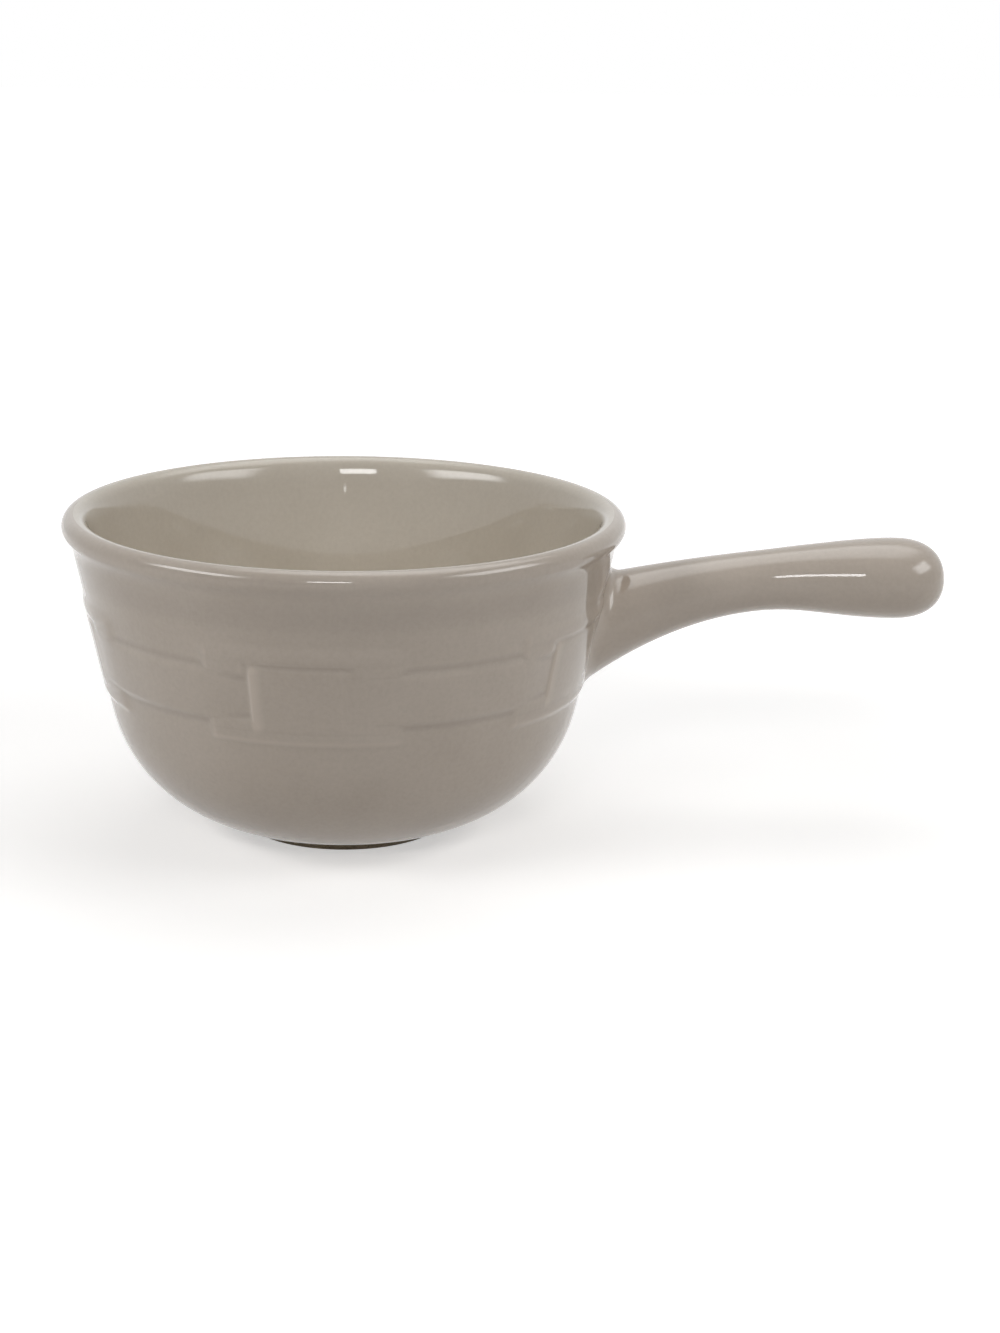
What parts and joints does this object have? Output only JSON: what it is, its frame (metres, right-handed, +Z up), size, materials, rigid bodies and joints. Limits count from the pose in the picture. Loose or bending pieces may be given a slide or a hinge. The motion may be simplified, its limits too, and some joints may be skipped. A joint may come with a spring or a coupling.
{
  "type": "handled soup bowl",
  "caption": "Round glazed stoneware soup bowl with a flared lip, a basket-weave band in relief, a low foot ring and one hollow stick handle luted to the wall.",
  "frame": {"origin": "on the bowl's axis, in the plane of the standing edge of the foot ring", "axes": "+Z up along the bowl's axis, +X from the axis along the handle"},
  "size_m": [0.2213, 0.14, 0.081],
  "materials": {
    "stoneware": "unglazed fired stoneware",
    "slip": "unglazed fired slip",
    "outside_glaze": "glossy warm grey ivory glaze",
    "inside_glaze": "glossy warm ivory glaze"
  },
  "bodies": {
    "root": {"bowl_body": "stoneware", "inside_glaze": "inside_glaze", "outside_glaze": "outside_glaze", "base_glaze": "outside_glaze", "handle_body": "stoneware", "handle_slip": "slip", "handle_glaze": "outside_glaze"}
  },
  "joints": []
}
